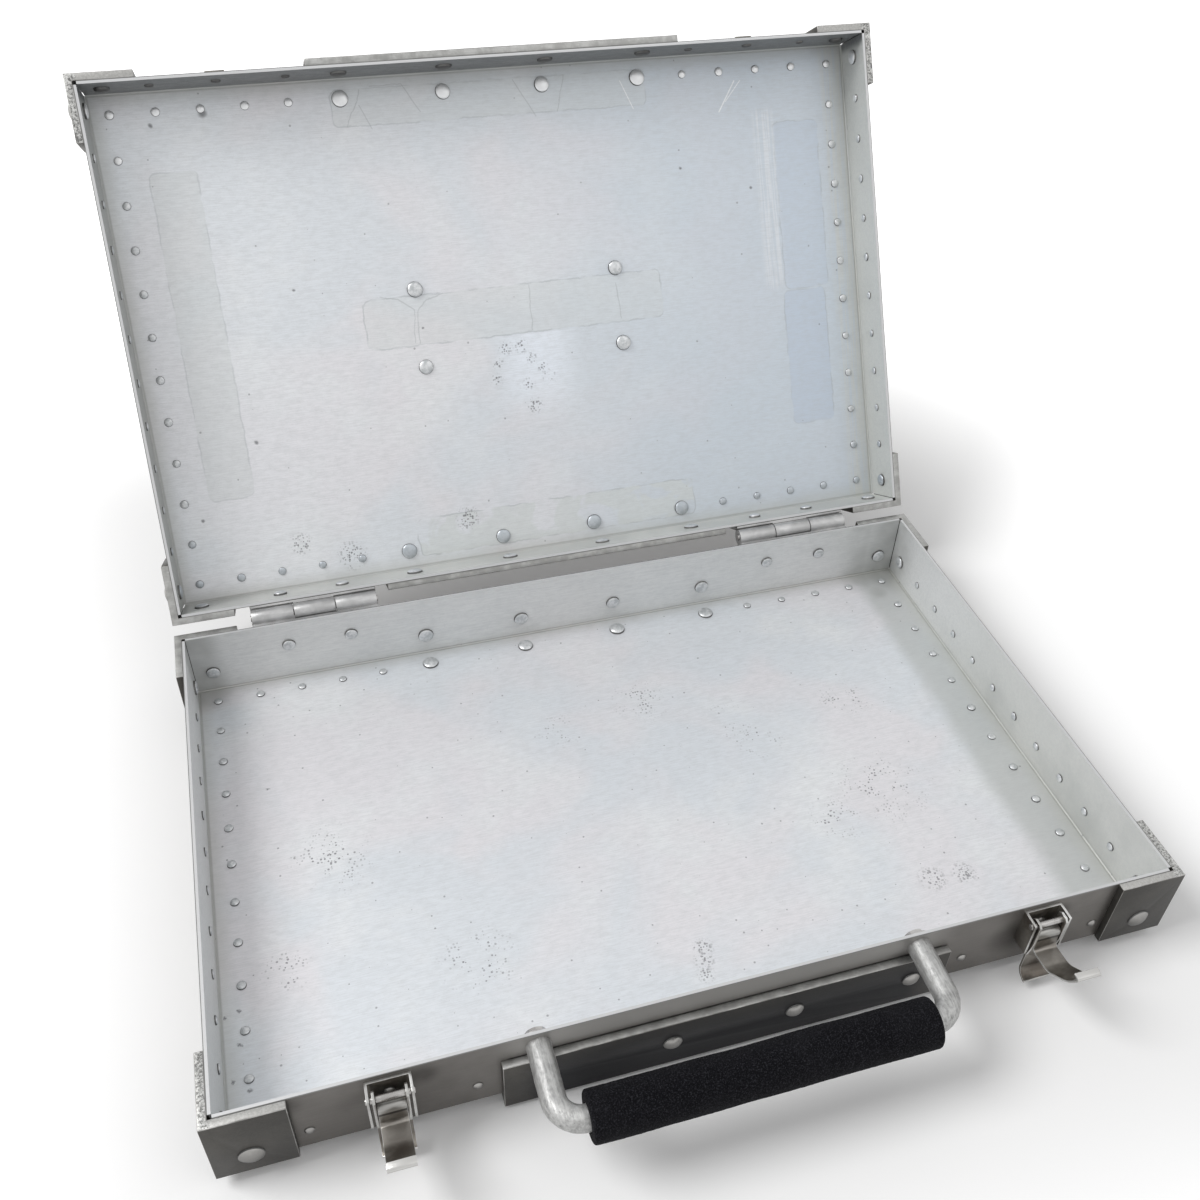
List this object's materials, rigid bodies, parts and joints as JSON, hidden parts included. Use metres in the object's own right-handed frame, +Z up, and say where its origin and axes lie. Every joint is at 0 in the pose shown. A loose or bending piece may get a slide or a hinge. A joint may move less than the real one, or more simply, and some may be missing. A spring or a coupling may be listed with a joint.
{
  "type": "metal briefcase",
  "caption": "Riveted sheet aluminium briefcase with corner angles, hinged lid, foam-covered handle and hook latches, shown open.",
  "frame": {"origin": "on the surface the case rests on, under the middle of the open case's box", "axes": "+Z up, +X to the right seen from the handle side, -Y towards the handle, the lid opens towards +Y"},
  "size_m": [0.4828, 0.5432, 0.3232],
  "materials": {
    "sheet": "brushed and lightly pitted",
    "angle": "mill finish with sawn ends",
    "rivet": "hand set",
    "hinge": "brushed",
    "handle_rod": "rough cast look",
    "latch_steel": "worn with brown patina",
    "pin_steel": "bright",
    "foam": "closed cell foam"
  },
  "bodies": {
    "root": {"base_centre_angle_back": "angle", "base_centre_angle_front": "angle", "base_corner_angle_back_left": "angle", "base_corner_angle_back_right": "angle", "base_corner_angle_front_left": "angle", "base_corner_angle_front_right": "angle", "base_corner_rivets": "rivet", "base_floor_rivets": "rivet", "base_hinge_rivets": "rivet", "base_inner_tray": "sheet", "base_outer_tray": "sheet", "base_wall_rivets": "rivet", "handle_grip": "foam", "handle_nuts": "pin_steel", "handle_rod": "handle_rod", "handle_washers": "pin_steel", "hinge_base_leaf_left": "hinge", "hinge_base_leaf_right": "hinge", "hinge_pin_left": "pin_steel", "hinge_pin_right": "pin_steel", "latch_bracket_left": "latch_steel", "latch_bracket_right": "latch_steel", "latch_rivets": "rivet", "lever_pin_left": "pin_steel", "lever_pin_right": "pin_steel"},
    "lid": {"catch_left": "latch_steel", "catch_right": "latch_steel", "catch_rivets": "rivet", "hinge_lid_leaf_left": "hinge", "hinge_lid_leaf_right": "hinge", "lid_centre_angle_back": "angle", "lid_centre_angle_front": "angle", "lid_centre_rivets": "rivet", "lid_corner_angle_back_left": "angle", "lid_corner_angle_back_right": "angle", "lid_corner_angle_front_left": "angle", "lid_corner_angle_front_right": "angle", "lid_corner_rivets": "rivet", "lid_floor_rivets": "rivet", "lid_hinge_rivets": "rivet", "lid_inner_tray": "sheet", "lid_outer_tray": "sheet", "lid_wall_rivets": "rivet"},
    "lever_left": {"claw_pin_left": "pin_steel", "latch_lever_left": "latch_steel"},
    "lever_right": {"claw_pin_right": "pin_steel", "latch_lever_right": "latch_steel"},
    "claw_left": {"latch_claw_left": "latch_steel"},
    "claw_right": {"latch_claw_right": "latch_steel"}
  },
  "joints": [
    {"name": "lid_hinge", "type": "hinge", "parent": "root", "child": "lid", "pos_m": [0, 0.08625, 0.05155], "axis": [-1, 0, 0], "range_deg": [-119.4, 60.6]},
    {"name": "latch_lever_left", "type": "hinge", "parent": "root", "child": "lever_left", "pos_m": [-0.1607, -0.22895, 0.0458], "axis": [1, 0, 0], "range_deg": [-85, 0]},
    {"name": "latch_claw_left", "type": "hinge", "parent": "lever_left", "child": "claw_left", "pos_m": [-0.1607, -0.22925, 0.0386], "axis": [-1, 0, 0], "range_deg": [0, 78]},
    {"name": "latch_lever_right", "type": "hinge", "parent": "root", "child": "lever_right", "pos_m": [0.1607, -0.22895, 0.0458], "axis": [1, 0, 0], "range_deg": [-85, 0]},
    {"name": "latch_claw_right", "type": "hinge", "parent": "lever_right", "child": "claw_right", "pos_m": [0.1607, -0.22925, 0.0386], "axis": [-1, 0, 0], "range_deg": [0, 78]}
  ]
}
